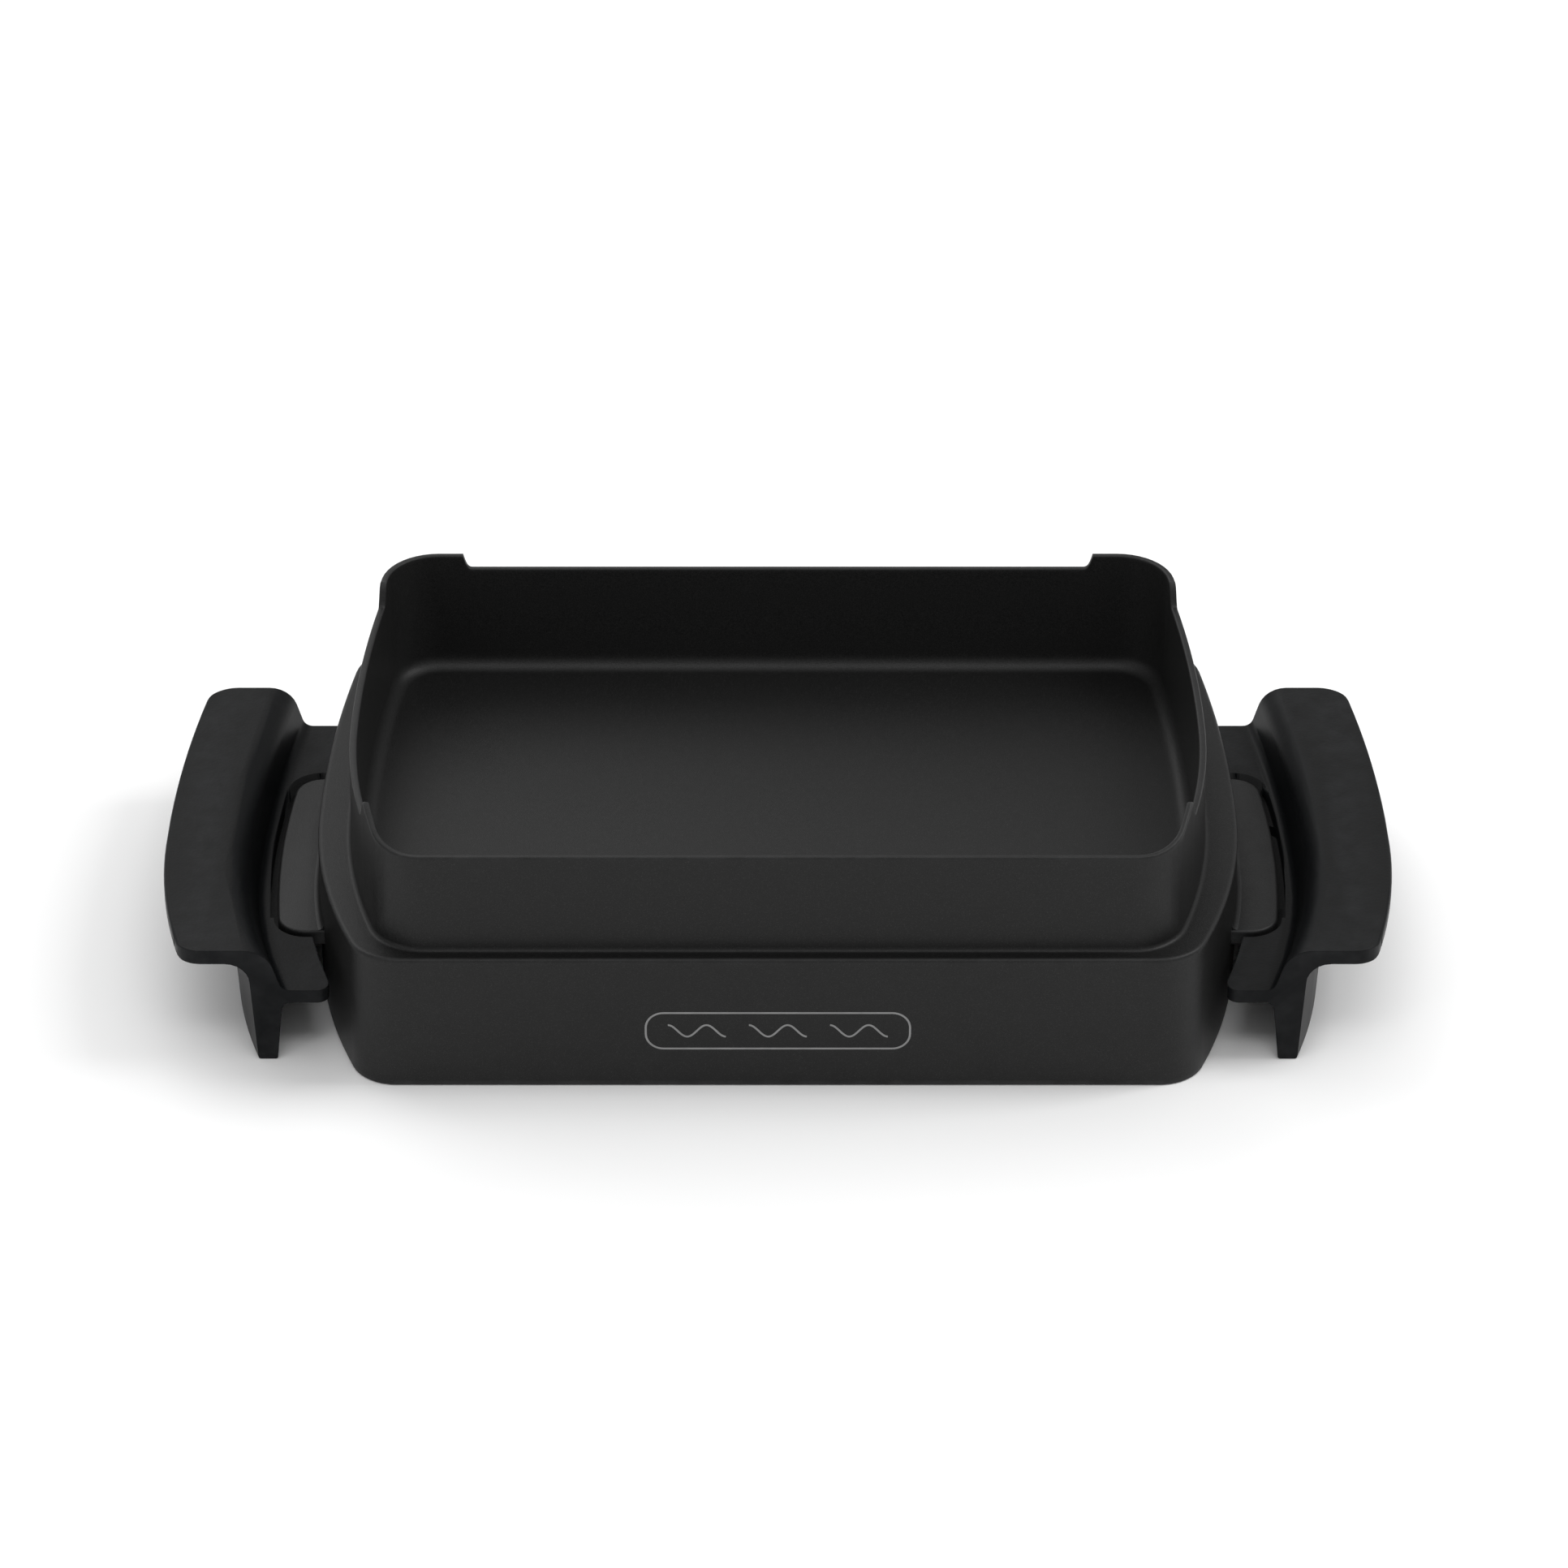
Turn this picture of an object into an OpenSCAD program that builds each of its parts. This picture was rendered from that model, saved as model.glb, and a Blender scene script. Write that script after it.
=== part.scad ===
// Cast baking dish with two bolted side handles, for use on a contact grill.
// The dish stands on its skirt. +X is its long side, +Y the back, +Z up.

/* [Dish] */
// Half of the skirt's greatest width
skirt_half_w = 162.7; // [155:0.1:170]
// Half of the skirt's depth, front to back
skirt_half_d = 102; // [98:0.5:106]
// Height of the shoulder above the table
shoulder_z = 52.5; // [46:0.5:60]
// Height of the cooking floor
floor_z = 50; // [42:0.5:50.5]
// Thickness of the cooking floor
floor_t = 3.5; // [2.5:0.5:5]
// Thickness of the skirt
skirt_t = 3; // [2:0.5:5]
// Half of the upper wall's greatest width
wall_half_w = 150.6; // [146:0.1:154]
// Half of the upper wall's depth
wall_half_d = 95.7; // [92:0.1:97]
// Thickness of the upper wall at the front and back
wall_t = 2.5; // [2:0.1:4]

/* [Rim] */
// Height of the rim along the front
rim_z = 90.5; // [84:0.5:93]
// Height of the rim along the back, between its corners
back_rim_z = 91.5; // [84:0.5:93]
// Height of the rim along the two sides
side_rim_z = 89; // [84:0.5:91]
// Height of the pointed front corners
front_horn_z = 98; // [94:0.5:100]
// Height of the square back corners
back_horn_z = 97; // [94.5:0.5:99]
// Half of the gap between the back corners
back_gap_half = 111.5; // [90:0.5:115]

/* [Handles] */
// Reach of the grip from the middle of the dish
grip_reach = 216.9; // [212:0.1:225]
// Bow radius of the grip's outer edge in front of its widest place
grip_front_bow = 238; // [230:1:260]
// Bow radius of the grip's outer edge behind its widest place
grip_back_bow = 611; // [560:1:660]
// Front end of the handle
handle_front_y = -86; // [-90:0.5:-80]
// Back end of the handle
handle_back_y = 85; // [80:0.5:90]
// Height of the grip's top
grip_z = 45.5; // [42:0.5:48]
// Thickness of the grip
grip_t = 5.5; // [4:0.5:7]
// Height of the mounting arms' top
arm_z = 28.9; // [26:0.1:31]
// Thickness of the mounting arms
arm_t = 5.1; // [4:0.1:6]

/* [Lugs and screws] */
// Reach of the dish's lug from the middle of the dish
lug_reach = 177.9; // [175:0.1:178.5]
// Half of the lug's length
lug_half_l = 49.5; // [44:0.5:52]
// Thickness of the lug
lug_t = 6; // [5:0.5:7]
// Gap between the lug and its window in the handle
lug_gap = 2.8; // [1.5:0.1:3]
// Half of the distance between the two screws of a handle
screw_half_pitch = 30; // [20:1:38]
// Distance of the screws from the middle of the dish
screw_x = 171.3; // [170:0.1:172]
// Thread diameter of the screws
screw_d = 4; // [3:0.5:5]
// Diameter of the screw heads
head_d = 7.6; // [6.5:0.1:9]
// Outer diameter of the washers
washer_d = 9; // [8:0.1:10]
// Thickness of the washers
washer_t = 0.8; // [0.5:0.1:1.2]

/* [Hidden] */
eps = 0.01;
big = 300;

widest_y = -12;         // the dish is widest a little in front of its middle
skirt_front_bow = 212;
skirt_back_bow = 614;
skirt_corner_r = 18.5;
wall_front_bow = 235;
wall_back_bow = 600;
wall_front_corner = 19;
wall_back_corner = 20.5;
side_wall_t = 3;        // the wall is thickest at the middle of the sides
arc_step = 6;           // steps in each arc of an outline

lug_top_z = arm_z;
lug_bottom_z = lug_top_z - lug_t;
shelf_t = 4;            // shelf of the handle under the lug
shelf_bottom_z = lug_bottom_z - shelf_t;
shelf_rim = 0.6;
lug_bow_x = -213.1;     // centre of the bow that the lug and its window share
lug_bow_y = -6;
grip_widest_y = -18.4;
grip_front_corner = 9.5;
grip_back_corner = 12;
arm_end_r = 4;
arm_end_x = 156.2;
dish_clearance = 4.6;
clearance_hole_d = screw_d + 0.6;
head_h = 2.6;
drive_d = 2.2;
drive_depth = 1.4;
thread_depth = 4.4;
screw_fit = 0.1;

coat = [0.16, 0.16, 0.16];
plastic = [0.09, 0.09, 0.10];
steel = [0.75, 0.75, 0.76];

function arc(c, r, from, to, n = arc_step) =
    [for (i = [0:n]) let (a = from + (to - from) * i / n) c + r * [cos(a), sin(a)]];

function flip(points) = [for (i = [len(points) - 1:-1:0]) [-points[i][0], points[i][1]]];

// One side of a bowed outline: a front corner, two arcs that meet where it is widest, a back corner.
function corner_angle(bow, r, end_y) = asin((end_y - sign(end_y) * r - widest_y) / (bow - r));
function corner_centre(half_w, bow, r, end_y) =
    [half_w - bow + (bow - r) * cos(corner_angle(bow, r, end_y)), end_y - sign(end_y) * r];
function bowed_side(half_w, half_d, front_bow, back_bow, front_r, back_r) =
    let (front_a = corner_angle(front_bow, front_r, -half_d),
         back_a = corner_angle(back_bow, back_r, half_d))
    concat(
        arc(corner_centre(half_w, front_bow, front_r, -half_d), front_r, -90, front_a),
        arc([half_w - front_bow, widest_y], front_bow, front_a, 0),
        arc([half_w - back_bow, widest_y], back_bow, 0, back_a),
        arc(corner_centre(half_w, back_bow, back_r, half_d), back_r, back_a, 90));

module bowed_outline(half_w, half_d, front_bow, back_bow, front_r, back_r) {
    side = bowed_side(half_w, half_d, front_bow, back_bow, front_r, back_r);
    polygon(concat(side, flip(side)));
}

module skirt_outline(grow = 0) {
    bowed_outline(skirt_half_w + grow, skirt_half_d + grow, skirt_front_bow + grow,
        skirt_back_bow + grow, skirt_corner_r + grow, skirt_corner_r + grow);
}

module wall_outline() {
    bowed_outline(wall_half_w, wall_half_d, wall_front_bow, wall_back_bow,
        wall_front_corner, wall_back_corner);
}

module inside_outline() {
    bowed_outline(wall_half_w - side_wall_t, wall_half_d - wall_t, wall_front_bow + 12,
        wall_back_bow + 20, wall_front_corner - wall_t, wall_back_corner - wall_t);
}

// Everything below the rim, seen from the side: front rim, pointed horn, side rim, square horn.
module rim_profile() {
    rotate([90, 0, 90]) translate([0, 0, -big]) linear_extrude(2 * big) polygon([
        [-big, 0], [-big, rim_z], [-wall_half_d, rim_z], [-93, rim_z + 0.7], [-88, rim_z + 2.6],
        [-80, rim_z + 5.6], [-73, front_horn_z - 0.3], [-71.5, front_horn_z],
        [-70.4, front_horn_z - 0.7], [-66.4, side_rim_z + 0.7], [-65.4, side_rim_z],
        [70, side_rim_z], [71, side_rim_z + 0.7], [73.7, back_horn_z - 0.7],
        [74.7, back_horn_z], [big, back_horn_z], [big, 0]
    ]);
}

// The low stretch of rim between the two back horns.
module back_gap() {
    side = [[back_gap_half, back_rim_z], [back_gap_half + 1.5, back_rim_z + 1],
        [back_gap_half + 2.6, back_rim_z + 3.5], [back_gap_half + 3.3, back_horn_z + 1]];
    rotate([90, 0, 0]) translate([0, 0, -big]) linear_extrude(big - 60)
        polygon(concat(side, flip(side)));
}

// A plan shape with a bowed outer edge and round outer corners, for the right-hand side.
module bowed_tab(reach, half_l, r, inner_x) {
    tab_bow = reach - lug_bow_x;
    end_x = lug_bow_x + sqrt(pow(tab_bow - r, 2) - pow(half_l - r - lug_bow_y, 2));
    intersection() {
        translate([lug_bow_x, lug_bow_y]) circle(r = tab_bow, $fn = 360);
        union() {
            translate([inner_x, -half_l]) square([end_x - inner_x, 2 * half_l]);
            translate([inner_x, r - half_l]) square([reach - inner_x, 2 * (half_l - r)]);
            for (s = [-1, 1]) translate([end_x, s * (half_l - r)]) circle(r = r, $fn = 48);
        }
    }
}

module screw_places() {
    for (y = [-screw_half_pitch, screw_half_pitch]) translate([screw_x, y, 0]) children();
}

module lug() {
    difference() {
        translate([0, 0, lug_bottom_z]) linear_extrude(lug_t)
            bowed_tab(lug_reach, lug_half_l, 10, skirt_half_w - 8);
        translate([0, 0, lug_bottom_z - eps]) linear_extrude(lug_t + 2 * eps)
            skirt_outline(-skirt_t / 2);
        screw_places() translate([0, 0, lug_bottom_z - eps])
            cylinder(d = screw_d, h = thread_depth + eps, $fn = 32);
    }
}

module dish() color(coat) {
    difference() {
        linear_extrude(shoulder_z) skirt_outline();
        translate([0, 0, -eps]) linear_extrude(floor_z - floor_t + eps) skirt_outline(-skirt_t);
        translate([0, 0, floor_z]) linear_extrude(big) inside_outline();
    }
    difference() {
        intersection() {
            translate([0, 0, floor_z - 1]) linear_extrude(front_horn_z) wall_outline();
            rim_profile();
        }
        translate([0, 0, floor_z - 2]) linear_extrude(big) inside_outline();
        back_gap();
    }
    for (s = [0, 1]) mirror([s, 0, 0]) lug();
}

// Cross-section of the grip, web, foot and arm at the grip's widest place, as distance and height.
function grip_section() = concat(
    [[150, arm_z - arm_t], [150, arm_z]],
    arc([grip_reach - 36.2, arm_z + 3.8], 3.8, -90, -16.4),
    arc([grip_reach - 21, grip_z - 10], 10, 163.6, 90),
    arc([grip_reach - 1.5, grip_z - 1.5], 1.5, 90, 0, 3),
    arc([grip_reach - 1.5, grip_z - grip_t + 1.5], 1.5, 0, -90, 3),
    arc([grip_reach - 14.8, grip_z - grip_t - 8], 8, 90, 180),
    arc([grip_reach - 25.3, 0.8], 0.8, 0, -90, 3),
    arc([grip_reach - 30.2, 0.8], 0.8, -90, -180, 3),
    arc([grip_reach - 36.1, arm_z - arm_t - 3.2], 3.2, 0, 90));

// Half of the swept handle, behind its widest place, round the centre of its own bow.
module grip_sweep(bow, angle) {
    translate([grip_reach - bow, 0, 0]) rotate_extrude(angle = angle, $fn = 360)
        polygon([for (p = grip_section()) [p[0] + bow - grip_reach, p[1]]]);
}

function grip_corner_x(bow, r, end_y) =
    grip_reach - bow + sqrt(pow(bow - r, 2) - pow(abs(end_y - grip_widest_y) - r, 2));

// Plan of the whole handle: round grip corners outside, round arm ends inside.
module handle_plan() {
    length = handle_back_y - handle_front_y;
    front_x = grip_corner_x(grip_front_bow, grip_front_corner, handle_front_y);
    back_x = grip_corner_x(grip_back_bow, grip_back_corner, handle_back_y);
    wing_x = min(front_x, back_x);
    front_y = handle_front_y + grip_front_corner;
    back_y = handle_back_y - grip_back_corner;
    translate([arm_end_x + arm_end_r, handle_front_y])
        square([wing_x - arm_end_x - arm_end_r, length]);
    translate([arm_end_x, handle_front_y + arm_end_r])
        square([2 * arm_end_r, length - 2 * arm_end_r]);
    translate([wing_x - 5, front_y]) square([grip_reach - wing_x + 6, back_y - front_y]);
    translate([wing_x - 5, handle_front_y]) square([front_x - wing_x + 5, length / 2]);
    translate([wing_x - 5, handle_back_y - length / 2]) square([back_x - wing_x + 5, length / 2]);
    translate([front_x, front_y]) circle(r = grip_front_corner, $fn = 64);
    translate([back_x, back_y]) circle(r = grip_back_corner, $fn = 64);
    for (y = [handle_front_y + arm_end_r, handle_back_y - arm_end_r])
        translate([arm_end_x + arm_end_r, y]) circle(r = arm_end_r, $fn = 32);
}

module handle() {
    window_reach = lug_reach + lug_gap;
    window_half_l = lug_half_l + lug_gap + 0.7;
    difference() {
        union() {
            intersection() {
                translate([0, grip_widest_y, 0]) {
                    grip_sweep(grip_back_bow, 12);
                    mirror([0, 1, 0]) grip_sweep(grip_front_bow, 25);
                }
                translate([0, 0, -1]) linear_extrude(grip_z + 2) handle_plan();
            }
            translate([0, 0, shelf_bottom_z]) linear_extrude(lug_t + shelf_t - arm_t + 1)
                bowed_tab(window_reach + 6, window_half_l + shelf_rim, 8, skirt_half_w - 5);
        }
        translate([0, 0, lug_bottom_z]) linear_extrude(big)
            bowed_tab(window_reach, window_half_l, 12, 140);
        translate([0, 0, -1]) linear_extrude(big) skirt_outline(dish_clearance);
        screw_places() translate([0, 0, shelf_bottom_z - 1])
            cylinder(d = clearance_hole_d, h = shelf_t + 2, $fn = 32);
    }
}

module left_handle() color(plastic) mirror([1, 0, 0]) handle();
module right_handle() color(plastic) handle();

module screw(side, end) color(steel)
    translate([side * screw_x, end * screw_half_pitch, shelf_bottom_z - washer_t]) difference() {
        union() {
            translate([0, 0, -head_h]) cylinder(d = head_d, h = head_h, $fn = 48);
            translate([0, 0, -eps]) cylinder(d = screw_d - screw_fit,
                h = washer_t + shelf_t + thread_depth - 0.4, $fn = 32);
        }
        translate([0, 0, -head_h - eps]) {
            cylinder(d = drive_d, h = drive_depth, $fn = 24);
            for (a = [0, 90]) rotate([0, 0, a]) translate([-drive_d, -0.5, 0])
                cube([2 * drive_d, 1, drive_depth]);
        }
    }

module washer(side, end) color(steel)
    translate([side * screw_x, end * screw_half_pitch, shelf_bottom_z - washer_t]) difference() {
        cylinder(d = washer_d, h = washer_t, $fn = 48);
        translate([0, 0, -1]) cylinder(d = screw_d + 0.3, h = washer_t + 2, $fn = 32);
    }

dish();
left_handle();
right_handle();
screw(-1, -1);  // left_front_screw
screw(-1, 1);  // left_rear_screw
screw(1, -1);  // right_front_screw
screw(1, 1);  // right_rear_screw
washer(-1, -1);  // left_front_washer
washer(-1, 1);  // left_rear_washer
washer(1, -1);  // right_front_washer
washer(1, 1);  // right_rear_washer
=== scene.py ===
# %% [markdown]
# # A cast baking dish with two bolted handles
# This notebook dresses a finished engineering model. The frame holds every part at its real size,
# in metres, and stays fixed. Each cell below adds one finish or one finer mesh on top of it.

# %% Load the frame
import bpy
import bmesh
import math
from mathutils import Matrix, Vector


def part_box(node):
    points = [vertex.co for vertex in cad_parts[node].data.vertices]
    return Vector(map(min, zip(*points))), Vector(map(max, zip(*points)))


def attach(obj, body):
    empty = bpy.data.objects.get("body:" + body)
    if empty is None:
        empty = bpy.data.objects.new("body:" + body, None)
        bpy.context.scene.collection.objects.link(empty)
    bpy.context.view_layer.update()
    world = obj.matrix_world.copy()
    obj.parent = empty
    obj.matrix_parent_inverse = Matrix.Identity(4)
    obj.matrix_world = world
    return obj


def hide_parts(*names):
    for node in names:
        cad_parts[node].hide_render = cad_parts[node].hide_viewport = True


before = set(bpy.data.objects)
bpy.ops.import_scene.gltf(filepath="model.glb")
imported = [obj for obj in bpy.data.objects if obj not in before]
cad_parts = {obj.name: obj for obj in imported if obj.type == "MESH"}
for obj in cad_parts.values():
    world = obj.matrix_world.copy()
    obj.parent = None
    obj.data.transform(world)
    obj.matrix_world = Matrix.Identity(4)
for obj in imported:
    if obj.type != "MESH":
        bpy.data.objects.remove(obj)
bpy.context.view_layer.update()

MM = 0.001
print("frame nodes:", sorted(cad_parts))

# %% [markdown]
# ## Camera
# The dish is seen from the front, a little over two metres away, through a long lens. A long lens
# keeps the two handles nearly the same size as the front of the dish. The camera looks down by
# 33 degrees, and a very small sideways shift puts the dish where the frame wants it.

# %% Camera
LOOK_DOWN = math.radians(33)


def make_camera():
    data = bpy.data.cameras.new("camera")
    data.sensor_width = 36
    data.lens = 151
    data.shift_x = 0.0039
    camera = bpy.data.objects.new("camera", data)
    camera.location = (0, -1.961, 1.332)
    camera.rotation_euler = (math.pi / 2 - LOOK_DOWN, 0, 0)
    bpy.context.scene.collection.objects.link(camera)
    bpy.context.scene.camera = camera
    return camera


camera = make_camera()
print("camera lens", camera.data.lens, "mm")

# %% [markdown]
# ## Floor and light
# A studio table for dark cookware is plain white paper. The floor is one big pale sheet, lit by a
# white world. One broad softbox hangs behind and to the left, so the shadow falls forward. A second
# hangs overhead and a third above the camera, to open up the basin. A box on the right and a strip
# on the left draw the soft highlights on the round corners and on the grips.

# %% Floor and softboxes
FLOOR_SIZE = 14
FLOOR_DROP = 0.0002     # keeps the sheet just clear of the faces that stand on it
SOFTBOXES = [           # name, place, height aimed at, width and height, all in metres, and watts
    ("key_softbox", (-0.9, 1.3, 1.7), 0, (1.8, 1.4), 16),
    ("top_softbox", (0.3, -0.1, 2.4), 0, (2.4, 1.6), 9),
    ("front_softbox", (0, -1.3, 2.3), 0, (1.6, 0.6), 9),
    ("right_softbox", (1.3, 0.1, 1.5), 0, (0.6, 0.9), 15),
    ("left_strip", (-1.1, -1.0, 0.5), 0.03, (0.25, 0.9), 1.5),
]


def link(obj):
    bpy.context.scene.collection.objects.link(obj)
    return obj


def make_floor():
    mesh = bpy.data.meshes.new("studio_floor")
    sheet = bmesh.new()
    bmesh.ops.create_grid(sheet, x_segments=1, y_segments=1, size=FLOOR_SIZE / 2)
    bmesh.ops.translate(sheet, verts=sheet.verts, vec=(0, 0, -FLOOR_DROP))
    sheet.to_mesh(mesh)
    sheet.free()
    floor = link(bpy.data.objects.new("studio_floor", mesh))
    paper = bpy.data.materials.new("studio_paper")
    paper.use_nodes = True
    shader = paper.node_tree.nodes["Principled BSDF"]
    shader.inputs["Base Color"].default_value = (0.94, 0.94, 0.94, 1)
    shader.inputs["Roughness"].default_value = 0.9
    shader.inputs["Specular IOR Level"].default_value = 0.1
    mesh.materials.append(paper)
    return floor


def softbox(name, place, aim_z, size, watts):
    """An area light, aimed at a height on the object's upright axis."""
    light = bpy.data.lights.new(name, "AREA")
    light.shape = "RECTANGLE"
    light.size, light.size_y = size
    light.energy = watts
    box = link(bpy.data.objects.new(name, light))
    box.location = place
    aim = Vector((0, 0, aim_z))
    box.rotation_euler = (aim - Vector(place)).to_track_quat("-Z", "Y").to_euler()
    return box


def light_studio():
    world = bpy.data.worlds.new("studio")
    world.use_nodes = True
    background = world.node_tree.nodes["Background"]
    background.inputs["Color"].default_value = (1, 1, 1, 1)
    background.inputs["Strength"].default_value = 0.52
    bpy.context.scene.world = world
    for box in SOFTBOXES:
        softbox(*box)
    bpy.context.scene.view_settings.view_transform = "Standard"


floor = make_floor()
light_studio()
print("studio ready")

# %% [markdown]
# ## Shared effects
# The finishes share four effects. Speckle scatters tiny flecks and grit, as mica does in a sprayed
# coating. Haze is a slow, cloudy change that stops big faces looking flat. Edge wear and glint finds
# convex edges, where a finish is rubbed thin and where a painted highlight stands in for their glint.
# Inward light finds the walls that look at the middle of the dish, so that painted light can give
# them a paler colour than the outside. Each is a node group with named sockets.

# %% Node group helpers
def new_group(name, inputs, outputs):
    group = bpy.data.node_groups.new(name, "ShaderNodeTree")
    for title, kind, value in inputs:
        socket = group.interface.new_socket(title, in_out="INPUT", socket_type=kind)
        if value is not None:
            socket.default_value = value
    for title, kind in outputs:
        group.interface.new_socket(title, in_out="OUTPUT", socket_type=kind)
    entry = group.nodes.new("NodeGroupInput")
    exit_node = group.nodes.new("NodeGroupOutput")
    return group, entry.outputs, exit_node.inputs


def add(tree, kind, **settings):
    node = tree.nodes.new(kind)
    for key, value in settings.items():
        setattr(node, key, value)
    return node


def wire(tree, source, target):
    tree.links.new(source, target)


def feed(tree, value, socket):
    """Gives a socket either another node's output or a plain value."""
    if hasattr(value, "is_output"):
        wire(tree, value, socket)
    else:
        socket.default_value = value


def math_node(tree, operation, a, b):
    node = add(tree, "ShaderNodeMath", operation=operation)
    feed(tree, a, node.inputs[0])
    feed(tree, b, node.inputs[1])
    return node.outputs[0]


def noise(tree, place, scale, detail=2.0, roughness=0.5):
    node = add(tree, "ShaderNodeTexNoise")
    node.inputs["Detail"].default_value = detail
    node.inputs["Roughness"].default_value = roughness
    wire(tree, place, node.inputs["Vector"])
    feed(tree, scale, node.inputs["Scale"])
    return node.outputs["Fac"]


def ramp(tree, value, low, high):
    """Rises from 0 to 1 as the value goes from low to high."""
    node = add(tree, "ShaderNodeMapRange", clamp=True)
    feed(tree, low, node.inputs["From Min"])
    feed(tree, high, node.inputs["From Max"])
    wire(tree, value, node.inputs["Value"])
    return node.outputs["Result"]


# %% Speckle, haze, edge wear and inward groups
def make_speckle():
    """Pale flecks and a darker grit, as in a sprayed coating with mica in it."""
    group, given, out = new_group(
        "speckle",
        [("Scale", "NodeSocketFloat", 900.0)],
        [("Flecks", "NodeSocketFloat"), ("Grit", "NodeSocketFloat")],
    )
    place = add(group, "ShaderNodeTexCoord").outputs["Object"]
    cells = add(group, "ShaderNodeTexVoronoi", feature="F1")
    wire(group, place, cells.inputs["Vector"])
    wire(group, given["Scale"], cells.inputs["Scale"])
    lucky = add(group, "ShaderNodeSeparateColor")
    wire(group, cells.outputs["Color"], lucky.inputs["Color"])
    near = ramp(group, math_node(group, "MULTIPLY", cells.outputs["Distance"], -1.0), -0.42, -0.1)
    chosen = ramp(group, lucky.outputs[0], 0.4, 1.0)
    wire(group, math_node(group, "MULTIPLY", near, chosen), out["Flecks"])
    wire(group, noise(group, place, given["Scale"], 3.0, 0.6), out["Grit"])
    return group


def make_haze():
    """A slow, cloudy change of tone, a few centimetres across."""
    group, given, out = new_group(
        "haze", [("Scale", "NodeSocketFloat", 14.0)], [("Haze", "NodeSocketFloat")]
    )
    place = add(group, "ShaderNodeTexCoord").outputs["Object"]
    wire(group, ramp(group, noise(group, place, given["Scale"], 4.0, 0.55), 0.3, 0.7), out["Haze"])
    return group


def make_edge_wear_and_glint():
    """A mask of the convex edges, from the mesh's own curvature, broken up by noise, for real rubbing
    and a painted highlight of the edges' glint.
    """
    group, given, out = new_group(
        "edge_wear_and_glint",
        [("Low", "NodeSocketFloat", 0.52), ("High", "NodeSocketFloat", 0.6)],
        [("WearAndGlint", "NodeSocketFloat")],
    )
    point = add(group, "ShaderNodeNewGeometry").outputs["Pointiness"]
    place = add(group, "ShaderNodeTexCoord").outputs["Object"]
    edge = ramp(group, point, given["Low"], given["High"])
    patchy = ramp(group, noise(group, place, 120.0, 4.0, 0.6), 0.25, 0.75)
    wire(group, math_node(group, "MULTIPLY", edge, patchy), out["WearAndGlint"])
    return group


def make_inward_light():
    """A mask of the upright faces that look at the upright axis through the object's origin, used to
    paint light on the walls inside the basin.
    """
    group, given, out = new_group(
        "inward_light",
        [("Near", "NodeSocketFloat", 0.01), ("Far", "NodeSocketFloat", 0.05)],
        [("Inward", "NodeSocketFloat")],
    )
    to_axis = add(group, "ShaderNodeVectorMath", operation="MULTIPLY")
    wire(group, add(group, "ShaderNodeTexCoord").outputs["Object"], to_axis.inputs[0])
    to_axis.inputs[1].default_value = (-1, -1, 0)
    facing = add(group, "ShaderNodeVectorMath", operation="DOT_PRODUCT")
    wire(group, to_axis.outputs[0], facing.inputs[0])
    wire(group, add(group, "ShaderNodeNewGeometry").outputs["Normal"], facing.inputs[1])
    wire(group, ramp(group, facing.outputs["Value"], given["Near"], given["Far"]), out["Inward"])
    return group


SPECKLE = make_speckle()
HAZE = make_haze()
EDGE_WEAR_AND_GLINT = make_edge_wear_and_glint()
INWARD_LIGHT = make_inward_light()
print("groups:", [g.name for g in bpy.data.node_groups])

# %% [markdown]
# ## Finishes
# Three finishes cover the object, besides the print on its front. The coating is a matte charcoal
# film with tiny mica flecks, sprayed over cast aluminium. The handles are black heat-resistant
# plastic with a fine grain on the flats and a smoother skin on the curves. The screws and washers are
# zinc-plated steel.

# %% Finish helpers
def place_group(tree, group, **values):
    node = add(tree, "ShaderNodeGroup", node_tree=group)
    for name, value in values.items():
        node.inputs[name].default_value = value
    return node.outputs


def mix_colour(tree, amount, a, b):
    node = add(tree, "ShaderNodeMix", data_type="RGBA")
    wire(tree, amount, node.inputs["Factor"])
    for socket, value in ((node.inputs["A"], a), (node.inputs["B"], b)):
        if hasattr(value, "is_output"):
            wire(tree, value, socket)
        else:
            socket.default_value = (*value, 1)
    return node.outputs["Result"]


def mix_value(tree, amount, a, b):
    node = add(tree, "ShaderNodeMapRange", clamp=True)
    wire(tree, amount, node.inputs["Value"])
    node.inputs["To Min"].default_value = a
    node.inputs["To Max"].default_value = b
    return node.outputs["Result"]


def bump(tree, height, strength, distance, base=None):
    node = add(tree, "ShaderNodeBump")
    node.inputs["Strength"].default_value = strength
    node.inputs["Distance"].default_value = distance
    wire(tree, height, node.inputs["Height"])
    if base is not None:
        wire(tree, base, node.inputs["Normal"])
    return node.outputs["Normal"]


def finish(name):
    material = bpy.data.materials.new(name)
    material.use_nodes = True
    tree = material.node_tree
    return material, tree, tree.nodes["Principled BSDF"].inputs


# %% Speckled non-stick coating
# Painted light: the paler colour of the walls inside the basin stands in for light that falls into it.
BASIN_PAINTED_LIGHT = (0.0185, 0.0187, 0.0185)       # set so that the deep walls don't go black


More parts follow.
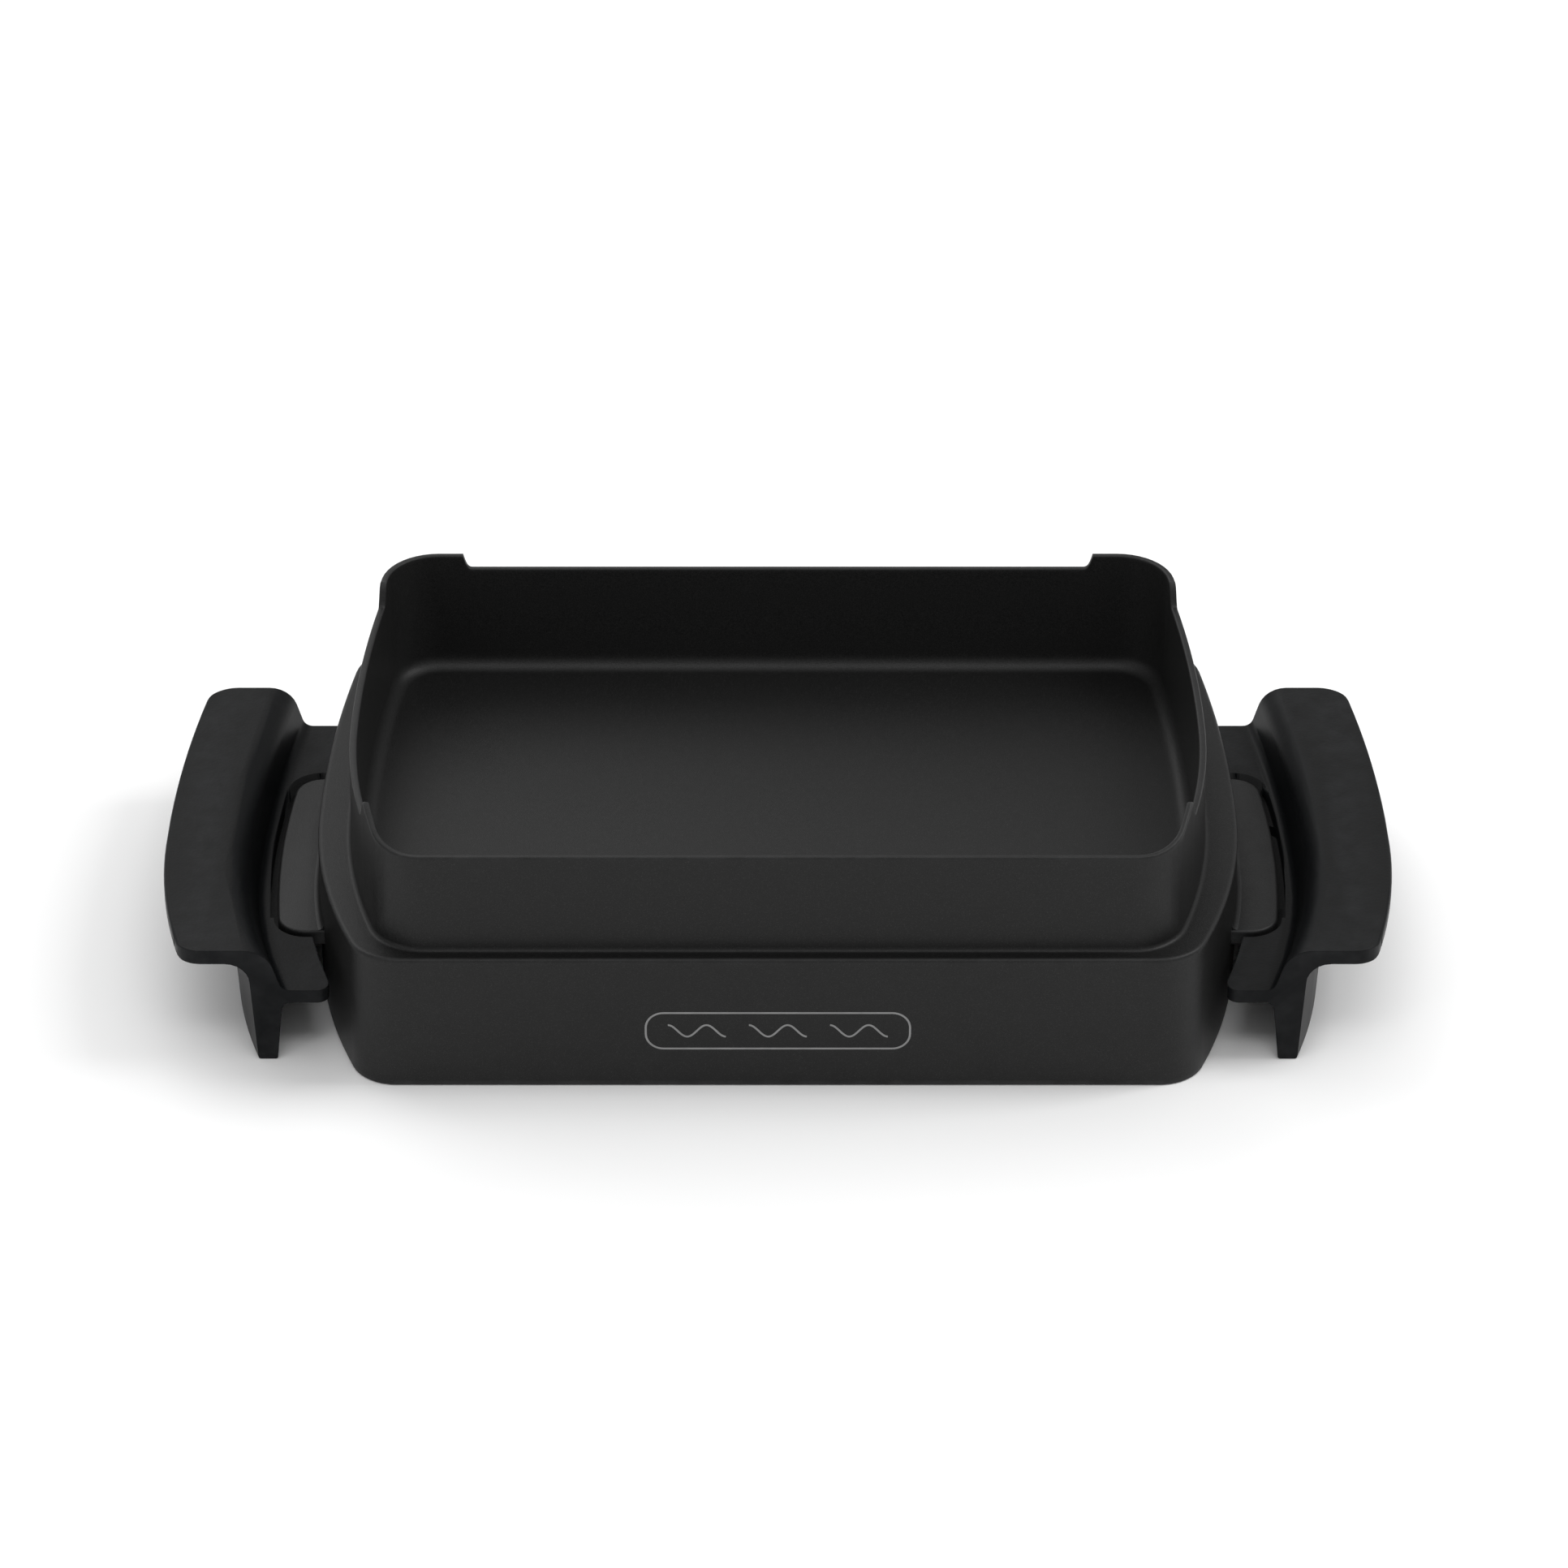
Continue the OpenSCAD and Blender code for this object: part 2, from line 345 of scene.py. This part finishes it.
def make_coating():
    material, tree, shader = finish("speckled_coating")
    speckle = place_group(tree, SPECKLE, Scale=2600.0)
    haze = place_group(tree, HAZE, Scale=9.0)["Haze"]
    wear_and_glint = place_group(tree, EDGE_WEAR_AND_GLINT, Low=0.505, High=0.56)["WearAndGlint"]
    outer = mix_colour(tree, haze, (0.0068, 0.0069, 0.0068), (0.0076, 0.0077, 0.0076))
    # Painted light: walls that look at the middle of the dish get a paler colour, standing in for light
    # falling into the basin.
    inward_light = place_group(tree, INWARD_LIGHT, Near=0.01, Far=0.05)["Inward"]
    ground = mix_colour(tree, inward_light, outer, BASIN_PAINTED_LIGHT)
    gritty = mix_colour(tree, ramp(tree, speckle["Grit"], 0.3, 0.7), (0.0046, 0.0046, 0.0046), ground)
    flecked = mix_colour(tree, speckle["Flecks"], gritty, (0.034, 0.034, 0.0335))
    # Paler convex edges: partly rubbed-thin coating, partly a painted highlight for the glint on the
    # rounded edges.
    rubbed_and_glinting = mix_colour(tree, wear_and_glint, flecked, (0.024, 0.0245, 0.025))
    wire(tree, rubbed_and_glinting, shader["Base Color"])
    shader["Specular IOR Level"].default_value = 0.26
    wire(tree, mix_value(tree, speckle["Grit"], 0.52, 0.38), shader["Roughness"])
    wire(tree, bump(tree, speckle["Grit"], 0.6, 0.00012), shader["Normal"])
    return material


COATING = make_coating()


# %% Grained handle plastic
def make_plastic():
    material, tree, shader = finish("grained_plastic")
    place = add(tree, "ShaderNodeTexCoord").outputs["Object"]
    cells = add(tree, "ShaderNodeTexVoronoi", feature="SMOOTH_F1")
    cells.inputs["Scale"].default_value = 900.0
    cells.inputs["Smoothness"].default_value = 0.4
    wire(tree, place, cells.inputs["Vector"])
    normal = add(tree, "ShaderNodeSeparateXYZ")
    wire(tree, add(tree, "ShaderNodeNewGeometry").outputs["Normal"], normal.inputs[0])
    flat = ramp(tree, normal.outputs["Z"], 0.94, 0.975)
    haze = place_group(tree, HAZE, Scale=16.0)["Haze"]
    wear_and_glint = place_group(tree, EDGE_WEAR_AND_GLINT, Low=0.51, High=0.6)["WearAndGlint"]
    ground = mix_colour(tree, haze, (0.0036, 0.0041, 0.0047), (0.0044, 0.0048, 0.0053))
    # Painted highlight: faces that look up get a paler colour than the curves, standing in for the light
    # they reflect from above.
    painted_light_on_flats = mix_colour(tree, flat, ground, (0.0100, 0.0102, 0.0103))
    # Paler convex edges: partly rubbed plastic, partly a painted highlight for the glint on the rounded
    # edges.
    wire(tree, mix_colour(tree, wear_and_glint, painted_light_on_flats, (0.02, 0.0205, 0.0215)), shader["Base Color"])
    shader["Specular IOR Level"].default_value = 0.08
    rough = math_node(tree, "ADD", mix_value(tree, flat, 0.36, 0.5), mix_value(tree, haze, 0.0, 0.04))
    wire(tree, rough, shader["Roughness"])
    grain = math_node(tree, "MULTIPLY", cells.outputs["Distance"], mix_value(tree, flat, 0.25, 1.0))
    soft_edge = add(tree, "ShaderNodeBevel", samples=6)
    soft_edge.inputs["Radius"].default_value = 0.0006
    wire(tree, bump(tree, grain, 0.25, 0.0002, soft_edge.outputs["Normal"]), shader["Normal"])
    return material


PLASTIC = make_plastic()


# %% Zinc-plated steel
def make_steel():
    material, tree, shader = finish("zinc_plated_steel")
    shader["Metallic"].default_value = 1.0
    place = add(tree, "ShaderNodeTexCoord").outputs["Object"]
    brushed = noise(tree, place, 2200.0, 2.0, 0.6)
    haze = place_group(tree, HAZE, Scale=300.0)["Haze"]
    wire(tree, mix_colour(tree, haze, (0.50, 0.50, 0.49), (0.64, 0.64, 0.63)), shader["Base Color"])
    wire(tree, mix_value(tree, brushed, 0.25, 0.45), shader["Roughness"])
    wire(tree, bump(tree, brushed, 0.15, 0.00005), shader["Normal"])
    return material


STEEL = make_steel()
print("finishes:", COATING.name, PLASTIC.name, STEEL.name)

# %% [markdown]
# ## The cast dish
# A die-cast dish is one skin of metal: it comes up the outside of the skirt, turns over the shoulder,
# climbs the upper wall, rolls over the rim and runs down to the cooking floor. Every level of that
# path has the same bowed outline, only larger or smaller. So the skin is made of rings, one for each
# level, and bridged from ring to ring.
#
# A ring is drawn the way a draughtsman draws it. A single point is spun round the centre of each
# arc in turn: front corner, front bow, back bow, back corner. Then the half is mirrored.

# %% Outline of a ring
WIDEST_Y = -12          # a little in front of the middle
CORNER_STEPS, BOW_STEPS = 10, 12


def outline_arcs(half_w, half_d, front_bow, back_bow, front_r, back_r):
    """The four arcs of one side, as centre, swept angle and steps, and the point they start from."""
    front_cy, back_cy = front_r - half_d, half_d - back_r
    front_a = math.asin((front_cy - WIDEST_Y) / (front_bow - front_r))
    back_a = math.asin((back_cy - WIDEST_Y) / (back_bow - back_r))
    front_cx = half_w - front_bow + (front_bow - front_r) * math.cos(front_a)
    back_cx = half_w - back_bow + (back_bow - back_r) * math.cos(back_a)
    return [
        ((front_cx, front_cy), math.pi / 2 + front_a, CORNER_STEPS),
        ((half_w - front_bow, WIDEST_Y), -front_a, BOW_STEPS),
        ((half_w - back_bow, WIDEST_Y), back_a, BOW_STEPS),
        ((back_cx, back_cy), math.pi / 2 - back_a, CORNER_STEPS),
    ], (front_cx, -half_d)


def spin_on(bm, tip, centre, angle, steps):
    """Carries one point round a centre, leaving the arc behind it, and returns the arc's far end."""
    spun = bmesh.ops.spin(
        bm, geom=[tip], cent=centre, axis=(0, 0, 1), angle=angle, steps=steps,
        use_merge=False, use_duplicate=False,
    )
    return next(g for g in spun["geom_last"] if isinstance(g, bmesh.types.BMVert))


def points_of(geometry):
    return [g for g in geometry if isinstance(g, bmesh.types.BMVert)]


def verts_of(pieces):
    """Every vertex of some edges or faces, once each and always in the same order."""
    return list(dict.fromkeys(v for piece in pieces for v in piece.verts))


def add_ring(bm, size, z):
    """Draws one closed ring at height z and returns its edges."""
    arcs, (x, y) = outline_arcs(*size)
    old = set(bm.edges)
    tip = bm.verts.new((x * MM, y * MM, z * MM))
    half = [tip]
    for (cx, cy), angle, steps in arcs:
        tip = spin_on(bm, tip, (cx * MM, cy * MM, z * MM), angle, steps)
        half.append(tip)
    right = [e for e in bm.edges if e not in old]
    copy = bmesh.ops.duplicate(bm, geom=verts_of(right) + right)
    bmesh.ops.scale(bm, vec=(-1, 1, 1), verts=points_of(copy["geom"]))
    twin = copy["vert_map"]
    for end in (half[0], half[-1]):
        bm.edges.new((end, twin[end]))
    return [e for e in bm.edges if e not in old]


# %% [markdown]
# The section is a list of levels, each with its size and height. The walls lean a little, as a
# casting must, so that it leaves its mould. Quarter-round steps make the rolled edges and the
# hollow fillets, because a real casting has no sharp corner anywhere.

# %% Levels of the skin
_, dish_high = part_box("dish")
SKIRT_HALF_D = dish_high[1] / MM
SHOULDER_Z = 52.5
FLOOR_Z = 50.0
UNDERSIDE_Z = 46.5
SIDE_RIM_Z, RIM_Z, BACK_RIM_Z = 89.0, 90.5, 91.5
FRONT_HORN_Z, BACK_HORN_Z = dish_high[2] / MM, 97.0

SKIRT_LEAN = 0.3        # how far the top of the skirt stands back from its foot
LEAN_FROM_Z, LEAN_RISE = 2.2, SHOULDER_Z - 4.4

# Each outline is half its width, half its depth, its front and back bows, and its corner radii.
SKIRT = (162.7, SKIRT_HALF_D - SKIRT_LEAN, 212, 614, 18.5, 18.5)
BASE = (162.9, SKIRT_HALF_D - 0.01, 218, 614, 16.5, 18.5)
WALL = (150.6, 95.7, 235, 600, 19, 20.5)
INSIDE = (147.6, 93.2, 247, 620, 16.5, 18)


def grown(size, grow):
    """The same outline, moved outwards by grow: all its sizes and radii grow alike."""
    return tuple(value + grow for value in size)


def quarter(size, grow, z, radius, start, end, steps):
    """A quarter-round: the arc's centre is at grow and z, and its angles go from start to end."""
    levels = []
    for i in range(steps + 1):
        a = math.radians(start + (end - start) * i / steps)
        levels.append((grown(size, grow + radius * math.cos(a)), z + radius * math.sin(a), None))
    return levels


def skin_levels():
    """Every level from the underside, round the foot and over the rim, down to the cooking floor."""
    thick, hollow, foot = 3.0, 2.5, 0.5                 # the skirt's wall, inner fillet and foot
    edge, fold, lip, corner = 1.4, 1.6, 0.7, 5.0        # radii, from the skirt's edge to the floor
    wall_foot, wall_top = 0.3, -0.3                     # lean of the upper wall, outside
    inner_top, inner_foot = 0.1, -0.6                   # and inside
    levels = quarter(SKIRT, -thick - hollow, UNDERSIDE_Z - hollow, hollow, 90, 0, 4)
    levels += [(grown(SKIRT, 0.05 - thick), UNDERSIDE_Z - 4, None)]
    levels += [(grown(BASE, 0.1 - thick), LEAN_FROM_Z, None)]
    levels += quarter(BASE, 0.1 - thick + foot, foot, foot, 180, 270, 3)
    levels += quarter(BASE, -foot, foot, foot, 270, 360, 3)
    levels += [(grown(BASE, -0.02), LEAN_FROM_Z, None)]
    levels += [(grown(SKIRT, -0.02), SHOULDER_Z - edge - 1.2, None)]
    levels += quarter(SKIRT, -edge, SHOULDER_Z - edge, edge, 0, 90, 5)
    levels += [(grown(SKIRT, -edge - 0.5), SHOULDER_Z, None)]
    levels += [(grown(WALL, wall_foot + fold + 0.4), SHOULDER_Z, None)]
    levels += quarter(WALL, wall_foot + fold, SHOULDER_Z + fold, fold, 270, 180, 6)
    levels += [(grown(WALL, wall_foot - 0.05), SHOULDER_Z + fold + 1.5, None)]
    rim = [(grown(WALL, wall_top + 0.02), -lip - 1.2, None)]
    rim += quarter(WALL, wall_top - lip, -lip, lip, 0, 90, 4)
    rim += quarter(INSIDE, inner_top + lip, -lip, lip, 90, 180, 4)
    rim += [(grown(INSIDE, inner_top - 0.02), -lip - 1.2, None)]
    levels += [(size, z, "rim") for size, z, _ in rim]
    levels += [(grown(INSIDE, inner_foot + 0.05), FLOOR_Z + corner + 1.5, None)]
    levels += quarter(INSIDE, inner_foot - corner, FLOOR_Z + corner, corner, 0, -90, 7)
    return levels


print("levels in the dish's skin:", len(skin_levels()))

# %% [markdown]
# The rim isn't level. It rises round each front corner to a point, drops to the side rim, steps up
# again to a square horn behind, and is low between the two back horns. The rings of the rim are
# first drawn flat, then cut across where its height changes, and each cut point is lifted to the
# height that the rim has there. Because all the rim's rings are lifted together, its rolled edge
# keeps its shape.

# %% Height of the rim
RIM_CUTS_Y = [-93, -90, -87, -84, -80, -76, -73.2, -72.2, -71.5, -70.6, -69.6, -67.2, -66.2, -65.4,
              -64.4, 69.0, 70.0, 71.0, 71.8, 73.0, 73.9, 75.0, 76.2]
FRONT_CLIMB, FRONT_DROP = (-93, -72), (-72.4, -65.2)
BACK_STEP, BACK_WALL_Y, BACK_GAP = (70, 75), 85, (111.2, 114.6)
RIM_CUTS_X = [109.5, 110.9, 111.4, 111.9, 112.5, 113.1, 113.7, 114.2, 114.7, 114.95, 116.0]


def smooth(value, low, high):
    t = min(max((value - low) / (high - low), 0), 1)
    return t * t * (3 - 2 * t)


def rim_height(x, y):
    """Height of the rim over a plan point, all in millimetres."""
    if y < 0:
        swoop = min(max((y - FRONT_CLIMB[0]) / (FRONT_CLIMB[1] - FRONT_CLIMB[0]), 0), 1)
        top = RIM_Z + (FRONT_HORN_Z - RIM_Z) * swoop ** 1.15
        return SIDE_RIM_Z + (top - SIDE_RIM_Z) * (1 - smooth(y, *FRONT_DROP))
    horn = SIDE_RIM_Z + (BACK_HORN_Z - SIDE_RIM_Z) * smooth(y, *BACK_STEP)
    if y < BACK_WALL_Y:
        return horn
    climb = min(max((abs(x) - BACK_GAP[0]) / (BACK_GAP[1] - BACK_GAP[0]), 0), 1)
    return BACK_RIM_Z + (horn - BACK_RIM_Z) * climb ** 3


print("rim at front, horn, side, back horn, back:", [
    round(rim_height(*p), 1) for p in ((0, -95), (143, -72), (150, 0), (140, 85), (0, 95))])

# %% [markdown]
# Two rings that lie in one plane are hard to bridge, because nothing says which lies above. So all
# the rings are first stacked 4 mm apart, bridged in order, and only then moved to their own heights.

# %% Build the dish
STACK = 4.0
PLATE_INSET = 1.5       # a narrow border keeps the flat plates' shading apart from the fillets
LIP_DEPTH = 2.2         # everything this close under the side rim rises and falls with it
BACK_CUT_Y = 80


def bridge(bm, ring_a, ring_b):
    return bmesh.ops.bridge_loops(bm, edges=ring_a + ring_b)["faces"]


def upper_wall(bm):
    """The faces of the wall above the shoulder's fold, inside and out."""
    middle, foot = (SHOULDER_Z + 4) * MM, SHOULDER_Z * MM
    return [f for f in bm.faces if f.calc_center_median().z > middle
            and min(v.co.z for v in f.verts) > foot]


def cut(bm, faces, point, normal):
    edges = list(dict.fromkeys(e for f in faces for e in f.edges))
    bmesh.ops.bisect_plane(
        bm, geom=verts_of(faces) + edges + faces, dist=1e-7, plane_co=point, plane_no=normal
    )


def to_object(bm, name, material, angle=32, even=False):
    mesh = bpy.data.meshes.new(name)
    bm.to_mesh(mesh)
    bm.free()
    mesh.materials.append(material)
    mesh.shade_smooth()
    mesh.set_sharp_from_angle(angle=math.radians(angle))
    obj = link(bpy.data.objects.new(name, mesh))
    if even:
        obj.modifiers.new("even_shading", "WEIGHTED_NORMAL").keep_sharp = True
    return obj


def build_dish():
    bm = bmesh.new()
    levels = skin_levels()
    rings = [add_ring(bm, size, i * STACK) for i, (size, _, _) in enumerate(levels)]
    for below, above in zip(rings, rings[1:]):
        bridge(bm, below, above)
    for i, (_, z, place) in enumerate(levels):
        true_z = z + (SIDE_RIM_Z if place == "rim" else 0)
        bmesh.ops.translate(bm, verts=verts_of(rings[i]), vec=(0, 0, (true_z - i * STACK) * MM))
    for ring in (rings[0], rings[-1]):
        plate = bmesh.ops.edgenet_fill(bm, edges=ring)["faces"]
        bmesh.ops.inset_region(bm, faces=plate, thickness=PLATE_INSET * MM, use_even_offset=True,
                               use_boundary=True)
    for y in RIM_CUTS_Y:
        cut(bm, upper_wall(bm), (0, y * MM, 0), (0, 1, 0))
    for x in RIM_CUTS_X:
        for sign in (-1, 1):
            back = [f for f in upper_wall(bm) if f.calc_center_median().y > BACK_CUT_Y * MM]
            cut(bm, back, (sign * x * MM, 0, 0), (1, 0, 0))
    lip_z = (SIDE_RIM_Z - LIP_DEPTH) * MM
    for v in bm.verts:
        if v.co.z > lip_z:
            v.co.z += (rim_height(v.co.x / MM, v.co.y / MM) - SIDE_RIM_Z) * MM
    bmesh.ops.remove_doubles(bm, verts=bm.verts, dist=1e-6)
    bmesh.ops.recalc_face_normals(bm, faces=bm.faces)
    print("dish rings", len(rings), "faces", len(bm.faces))
    return to_object(bm, "dish_casting", COATING)


dish = build_dish()
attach(dish, "root")
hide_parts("dish")

# %% [markdown]
# ## Lugs
# The casting has a flat lug on each side, which the handle is screwed to. Its plan is drawn like a
# ring, from spun arcs: along the skirt, round a corner, along a bowed outer edge and back. The face
# is raised to its thickness and its edges are rolled. A narrow hollow fillet then joins it to the skirt.

# %% Lug outline
BOW_CENTRE = Vector((-213.1 * MM, -6 * MM, 0))
LUG_REACH, LUG_HALF, LUG_CORNER = 177.9, 49.5, 10.0
LUG_TOP, LUG_THICK = 28.9, 6.0
LUG_ROOT = 1.5          # how far the lug's root reaches into the skirt
LUG_EDGE = 1.1


def heading(angle):
    return Vector((math.cos(angle), math.sin(angle), 0))


def skirt_centre(front):
    bow = SKIRT[2] if front else SKIRT[3]
    return Vector(((SKIRT[0] - bow) * MM, WIDEST_Y * MM, 0)), bow * MM


def skirt_angle(y, front, inset):
    centre, bow = skirt_centre(front)
    return math.asin((y * MM - centre.y) / (bow - inset * MM))


def build_lug(name, side):
    bm = bmesh.new()
    z = Vector((0, 0, (LUG_TOP - LUG_THICK) * MM))
    inset = LUG_ROOT
    centre, bow = skirt_centre(True)
    start_a = skirt_angle(-LUG_HALF, True, inset)
    first = bm.verts.new(centre + (bow - inset * MM) * heading(start_a) + z)
    tip = spin_on(bm, first, centre + z, -start_a, 8)
    tip = spin_on(bm, tip, skirt_centre(False)[0] + z, skirt_angle(LUG_HALF, False, inset), 8)
    lug_bow = LUG_REACH * MM - BOW_CENTRE.x
    arm = lug_bow - LUG_CORNER * MM
    back_a = math.asin(((LUG_HALF - LUG_CORNER) * MM - BOW_CENTRE.y) / arm)
    front_a = math.asin((-(LUG_HALF - LUG_CORNER) * MM - BOW_CENTRE.y) / arm)
    corners = [BOW_CENTRE + arm * heading(a) + z for a in (back_a, front_a)]
    turn = bm.verts.new(corners[0] + Vector((0, LUG_CORNER * MM, 0)))
    bm.edges.new((tip, turn))
    tip = spin_on(bm, turn, corners[0], -(math.pi / 2 - back_a), 10)
    tip = spin_on(bm, tip, BOW_CENTRE + z, front_a - back_a, 16)
    tip = spin_on(bm, tip, corners[1], -(math.pi / 2 + front_a), 10)
    bm.edges.new((tip, first))
    bmesh.ops.remove_doubles(bm, verts=bm.verts, dist=1e-7)
    plate = bmesh.ops.edgenet_fill(bm, edges=bm.edges[:])["faces"]
    raised = bmesh.ops.extrude_face_region(bm, geom=plate)["geom"]
    bmesh.ops.translate(bm, verts=points_of(raised), vec=(0, 0, LUG_THICK * MM))
    rims = [e for e in bm.edges if abs(e.verts[0].co.z - e.verts[1].co.z) < 1e-6]
    bmesh.ops.bevel(bm, geom=rims, offset=LUG_EDGE * MM, offset_type="OFFSET", segments=4,
                    profile=0.5, affect="EDGES", material=-1, clamp_overlap=True)
    for front in (True, False):
        add_fillet(bm, front)
    if side < 0:
        bmesh.ops.scale(bm, vec=(-1, 1, 1), verts=bm.verts)
    bmesh.ops.recalc_face_normals(bm, faces=bm.faces)
    print(name, len(bm.faces), "faces")
    return to_object(bm, name, COATING)


def add_fillet(bm, front, radius=2.2, end=48.4):
    """A hollow fillet along the top of the lug's root, spun round the skirt's own centre."""
    centre, bow = skirt_centre(front)
    from_a = skirt_angle(-end, True, 0) if front else 0.0
    to_a = 0.0 if front else skirt_angle(end, False, 0)
    sunk = 0.8
    points = [(-sunk, -sunk), (-sunk, radius)]
    points += [(radius * (1 - math.cos(a)), radius * (1 - math.sin(a)))
               for a in [math.radians(15 * i) for i in range(7)]]
    points += [(radius, -sunk)]
    out = heading(from_a)
    section = [bm.verts.new(centre + out * (bow + r * MM) + Vector((0, 0, (LUG_TOP + h) * MM)))
               for r, h in points]
    face = bm.faces.new(section)
    bmesh.ops.spin(bm, geom=[face], cent=centre, axis=(0, 0, 1), angle=to_a - from_a, steps=14,
                   use_merge=False, use_duplicate=False)


for side, sign in (("left", -1), ("right", 1)):
    lug = build_lug(f"{side}_lug", sign)
    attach(lug, "root")

# %% [markdown]
# ## Mark on the front
# The front of the skirt has a thin pale print. Here it is a plain ornament, a rounded frame round
# three waves of rising heat. The frame starts as one flat face whose corners are rounded and whose
# border is inset. Each wave is a strip of small faces, bent by a sine.

# %% Printed mark
MARK_MIDDLE = (0.0, 23.0)
MARK_SIZE = (92.0, 15.6)
MARK_LINE = 0.7
MARK_LIFT = 0.06
MARK_DEPTH = 0.12
WAVE_STEPS = 48


def make_print():
    material, tree, shader = finish("grey_print")
    haze = place_group(tree, HAZE, Scale=220.0)["Haze"]
    wire(tree, mix_colour(tree, haze, (0.20, 0.20, 0.20), (0.25, 0.25, 0.25)), shader["Base Color"])
    wire(tree, mix_value(tree, haze, 0.5, 0.6), shader["Roughness"])
    return material


def rounded_frame(bm, width, height, radius, line):
    plate = bmesh.ops.create_grid(bm, x_segments=1, y_segments=1, size=0.5)["verts"]
    bmesh.ops.scale(bm, vec=(width * MM, height * MM, 1), verts=plate)
    bmesh.ops.bevel(bm, geom=plate, offset=radius * MM, offset_type="OFFSET", segments=10,
                    profile=0.5, affect="VERTICES", material=-1, clamp_overlap=True)
    face = max(bm.faces, key=lambda f: f.calc_area())
    bmesh.ops.inset_region(bm, faces=[face], thickness=line * MM, use_even_offset=True,
                           use_boundary=True)
    bmesh.ops.delete(bm, geom=[face], context="FACES")


def heat_wave(bm, x, length, swing, line):
    """A strip bent into one and a half waves, with the line's width square to the bend."""
    turns = 3 * math.pi
    made = bmesh.ops.create_grid(bm, x_segments=WAVE_STEPS, y_segments=1, size=0.5)["verts"]
    for v in made:
        along, across = v.co.x, v.co.y
        tilt = math.atan(swing / length * turns * math.cos(along * turns))
        v.co.x = (along * length - across * line * math.sin(tilt) + x) * MM
        v.co.y = (math.sin(along * turns) * swing + across * line * math.cos(tilt)) * MM


def build_mark():
    bm = bmesh.new()
    rounded_frame(bm, *MARK_SIZE, 6.5, MARK_LINE)
    for x in (-28, 0, 28):
        heat_wave(bm, x, 20, 2.4, MARK_LINE)
    bmesh.ops.rotate(bm, verts=bm.verts, cent=(0, 0, 0), matrix=Matrix.Rotation(math.pi / 2, 3, "X"))
    lean = SKIRT_LEAN / LEAN_RISE
    for v in bm.verts:
        height = v.co.z / MM + MARK_MIDDLE[1]
        v.co.z = height * MM
        v.co.y = (-SKIRT_HALF_D + 0.02 + lean * (height - LEAN_FROM_Z) - MARK_LIFT) * MM
    made = bmesh.ops.extrude_face_region(bm, geom=bm.faces[:])["geom"]
    bmesh.ops.translate(bm, verts=points_of(made), vec=(0, MARK_DEPTH * MM, 0))
    bmesh.ops.recalc_face_normals(bm, faces=bm.faces)
    print("mark", len(bm.faces), "faces")
    return to_object(bm, "front_mark", make_print())


mark = build_mark()
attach(mark, "root")

# %% [markdown]
# ## Handles
# Each handle's solid already has its true section, swept round the two bows of the grip, with the
# window for the lug cut out. A copy of its mesh is joined up, and its flat faces are dissolved into
# one face each. The plastic's own finish rounds the edges by 0.6 mm in its shading.

# %% Clean copies of the mouldings
def clean_copy(node, name, material):
    """A copy of a node's mesh, joined up and with its flat faces whole, as a new object."""
    bm = bmesh.new()
    bm.from_mesh(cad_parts[node].data)
    bmesh.ops.remove_doubles(bm, verts=bm.verts, dist=2e-6)
    bmesh.ops.dissolve_limit(bm, angle_limit=math.radians(1.0), verts=bm.verts, edges=bm.edges)
    print(name, len(bm.faces), "faces")
    return to_object(bm, name, material, angle=32, even=True)


for side in ("left", "right"):
    grip = clean_copy(f"{side}_handle", f"{side}_grip", PLASTIC)
    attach(grip, "root")
    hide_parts(f"{side}_handle")

# %% [markdown]
# ## Screws and washers
# The fasteners keep their solid shapes and only take the plated finish.

# %% Plate the fasteners
for node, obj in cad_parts.items():
    if node.endswith(("screw", "washer")):
        obj.data.materials.clear()
        obj.data.materials.append(STEEL)
